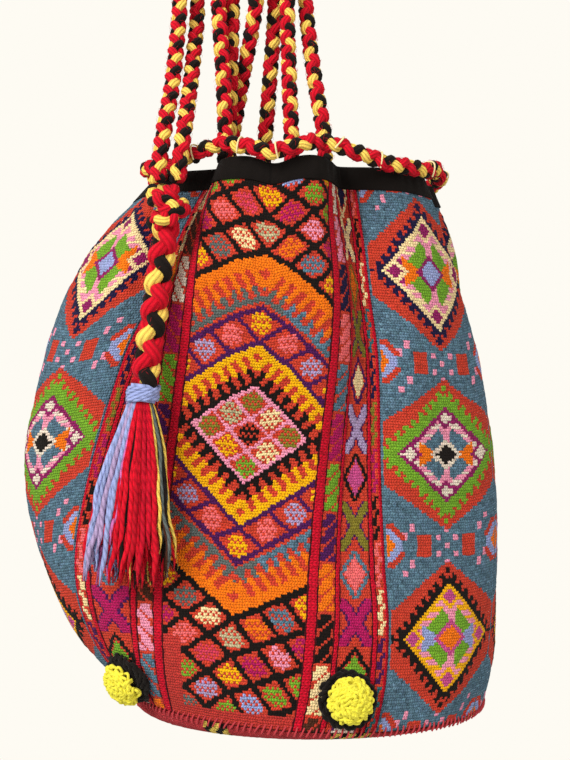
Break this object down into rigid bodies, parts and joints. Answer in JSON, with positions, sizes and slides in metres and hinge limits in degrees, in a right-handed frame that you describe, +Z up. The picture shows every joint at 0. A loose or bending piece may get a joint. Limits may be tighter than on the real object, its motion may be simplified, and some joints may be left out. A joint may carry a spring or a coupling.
{
  "type": "woven backpack",
  "caption": "Soft woven bucket backpack with a gathered rim, braided strap loops, a hanging tassel, pompoms and a flat oval base.",
  "frame": {"origin": "the point that the strap loops hang from, above the middle of the mouth", "axes": "+Z up, the front with the tassel faces -Y, +X to the right seen from the front"},
  "size_m": [0.3666, 0.2714, 0.5921],
  "materials": {
    "woven_wool_red": "raised wool weave on a brick red ground",
    "woven_wool_blue": "raised wool weave on a slate blue ground",
    "cotton_binding": "matte black cotton twill",
    "base_weave": "flat red weave",
    "braided_yarn": "matte wool braid in red, yellow and black",
    "tie_yarn": "light blue yarn",
    "tassel_yarn": "loose wool yarn",
    "black_yarn": "matte black wool",
    "yellow_yarn": "fluffy yellow wool"
  },
  "bodies": {
    "bag": {"front_panel": "woven_wool_red", "back_panel": "woven_wool_red", "right_panel": "woven_wool_blue", "left_panel": "woven_wool_blue", "rim_binding": "cotton_binding", "base": "base_weave", "rim_cord": "braided_yarn", "strap_loop_1": "braided_yarn", "strap_loop_2": "braided_yarn", "strap_loop_3": "braided_yarn", "strap_loop_4": "braided_yarn", "pompom_frill_1": "black_yarn", "pompom_tuft_1": "yellow_yarn", "pompom_frill_2": "black_yarn", "pompom_tuft_2": "yellow_yarn", "pompom_frill_3": "black_yarn", "pompom_tuft_3": "yellow_yarn", "pompom_frill_4": "black_yarn", "pompom_tuft_4": "yellow_yarn"},
    "tassel": {"tassel_knot": "braided_yarn", "tassel_cord": "braided_yarn", "tassel_tie": "tie_yarn", "tassel_skirt": "tassel_yarn"}
  },
  "joints": [
    {"name": "tassel_swing", "type": "hinge", "parent": "bag", "child": "tassel", "pos_m": [-0.0828, -0.1036, -0.21], "axis": [-1, 0, 0], "range_deg": [0, 50]}
  ]
}
